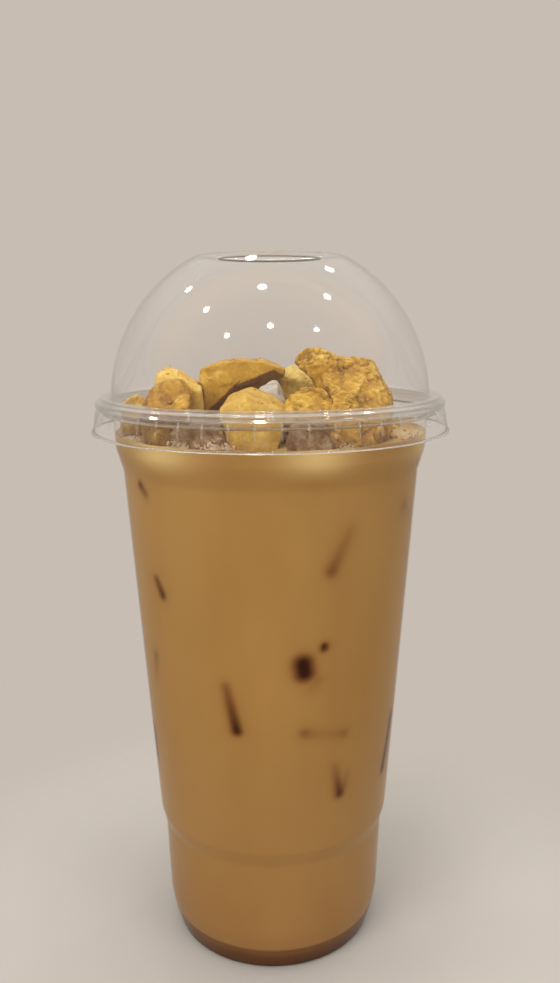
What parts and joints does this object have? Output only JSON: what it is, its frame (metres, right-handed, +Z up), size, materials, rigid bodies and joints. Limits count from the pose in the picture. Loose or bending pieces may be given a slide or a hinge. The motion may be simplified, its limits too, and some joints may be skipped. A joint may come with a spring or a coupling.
{
  "type": "iced dalgona latte in a takeaway cup",
  "caption": "Tall clear plastic takeaway cup of iced latte with broken honeycomb toffee on top, under a clear dome lid with a straw hole; it stands on its foot ring.",
  "frame": {"origin": "middle of the foot ring's underside, on the table", "axes": "+Z up along the cup's axis; -Y is the side that faces the viewer"},
  "size_m": [0.1134, 0.1134, 0.2263],
  "materials": {
    "clear_cup": "clear, glossy, thermoformed PET",
    "clear_lid": "clear, glossy, thermoformed PET",
    "settled_coffee": "dark coffee syrup, glossy behind the cup's wall",
    "latte": "milky coffee, smooth and glossy",
    "honeycomb_toffee": "rough broken sugar, porous and crystalline",
    "ice": "melting, smooth, stained by the coffee"
  },
  "bodies": {
    "root": {"cup": "clear_cup", "lid": "clear_lid", "settled_coffee": "settled_coffee", "latte": "latte", "toffee_crumb": "honeycomb_toffee", "toffee_left_back": "honeycomb_toffee", "toffee_left_front": "honeycomb_toffee", "toffee_slab": "honeycomb_toffee", "toffee_wedge": "honeycomb_toffee", "toffee_back": "honeycomb_toffee", "toffee_front": "honeycomb_toffee", "toffee_large": "honeycomb_toffee", "ice_middle": "ice", "ice_right": "ice", "ice_left": "ice"}
  },
  "joints": []
}
